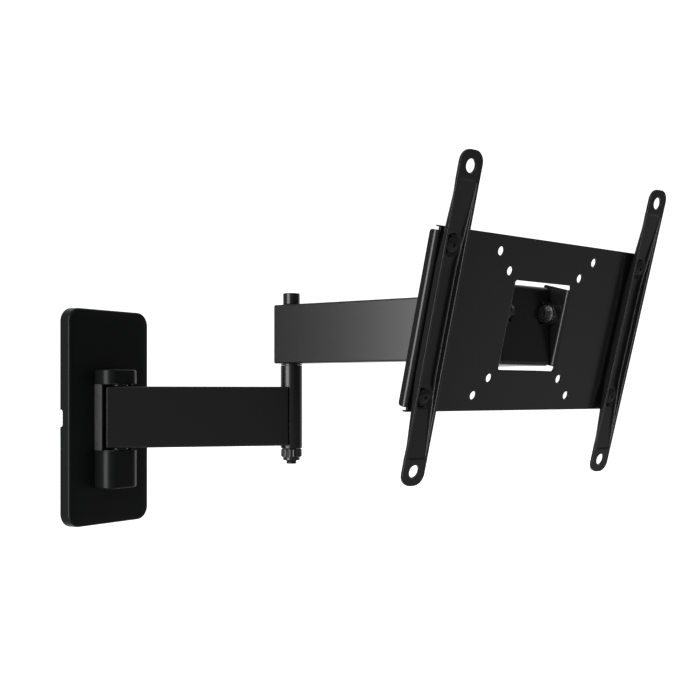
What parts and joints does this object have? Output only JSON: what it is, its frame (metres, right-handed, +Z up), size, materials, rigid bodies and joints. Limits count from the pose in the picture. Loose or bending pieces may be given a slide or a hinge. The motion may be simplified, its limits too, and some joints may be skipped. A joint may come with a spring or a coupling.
{
  "type": "full motion tv wall mount",
  "caption": "Full motion TV wall mount: covered wall bracket, hinged rectangular arms and a swivelling, tilting VESA plate with adapter bars.",
  "frame": {"origin": "centre of the wall plate's back face, on the wall", "axes": "+Z up, +X to the right along the wall as seen from the room, +Y into the wall, so the room is towards -Y"},
  "size_m": [0.2657, 0.3897, 0.2559],
  "materials": {
    "powder_coat": "satin black powder coat on steel",
    "cover_plastic": "fine matt moulded texture",
    "cast_housing": "black satin coat on a casting",
    "zinc_washer": "bright zinc plate",
    "dark_fastener": "black oxide",
    "nylon": "plain black moulded nylon"
  },
  "bodies": {
    "wall_bracket": {"wall_plate": "powder_coat", "hinge_housing": "cast_housing", "housing_screw_upper": "dark_fastener", "housing_screw_lower": "dark_fastener", "wall_cover": "cover_plastic", "upper_hinge_cap": "cover_plastic", "lower_hinge_cap": "cover_plastic", "wall_hinge_bolt": "dark_fastener", "wall_hinge_nut": "dark_fastener"},
    "lower_arm": {"wall_washer_top": "nylon", "wall_washer_bottom": "nylon", "lower_arm_tube": "powder_coat", "lower_arm_end_plug": "nylon", "lower_arm_bush_top": "nylon", "lower_arm_bush_bottom": "nylon", "elbow_post": "powder_coat", "elbow_bush_upper": "nylon", "elbow_bush_lower": "nylon"},
    "upper_arm": {"upper_arm_tube": "powder_coat", "upper_arm_rear_plug": "nylon", "upper_arm_front_plug": "nylon", "elbow_pin": "dark_fastener", "elbow_top_cap": "powder_coat", "elbow_thrust_washer": "nylon", "elbow_adjusting_nut": "nylon", "swivel_bush_top": "nylon", "swivel_bush_bottom": "nylon"},
    "swivel_head": {"swivel_bracket": "powder_coat", "swivel_washer_top": "nylon", "swivel_washer_bottom": "nylon", "swivel_bolt": "dark_fastener", "swivel_nut": "dark_fastener"},
    "tv_head": {"tv_plate": "powder_coat", "tilt_bolt_right": "dark_fastener", "tilt_nut_right": "dark_fastener", "tilt_washer_right": "zinc_washer", "tilt_friction_disc_right": "nylon", "tilt_bolt_left": "dark_fastener", "tilt_nut_left": "dark_fastener", "tilt_washer_left": "zinc_washer", "tilt_friction_disc_left": "nylon", "vesa_bar_left": "powder_coat", "vesa_bar_right": "powder_coat", "bar_screw_left_upper": "dark_fastener", "bar_screw_left_lower": "dark_fastener", "bar_screw_right_upper": "dark_fastener", "bar_screw_right_lower": "dark_fastener", "bar_nut_left_upper": "dark_fastener", "bar_nut_left_lower": "dark_fastener", "bar_nut_right_upper": "dark_fastener", "bar_nut_right_lower": "dark_fastener"}
  },
  "joints": [
    {"name": "wall_swivel", "type": "hinge", "parent": "wall_bracket", "child": "lower_arm", "pos_m": [0, -0.0209, 0], "axis": [0, 0, 1], "range_deg": [-105, 4]},
    {"name": "elbow_swivel", "type": "hinge", "parent": "lower_arm", "child": "upper_arm", "pos_m": [0.10826, -0.10888, 0.0676], "axis": [0, 0, 1], "range_deg": [-67, 162]},
    {"name": "head_swivel", "type": "hinge", "parent": "upper_arm", "child": "swivel_head", "pos_m": [0.11955, -0.29353, 0.0676], "axis": [0, 0, 1], "range_deg": [-41, 78]},
    {"name": "head_tilt", "type": "hinge", "parent": "swivel_head", "child": "tv_head", "pos_m": [0.11267, -0.31923, 0.077], "axis": [0.9659, -0.2588, 0], "range_deg": [-30, 0]}
  ]
}
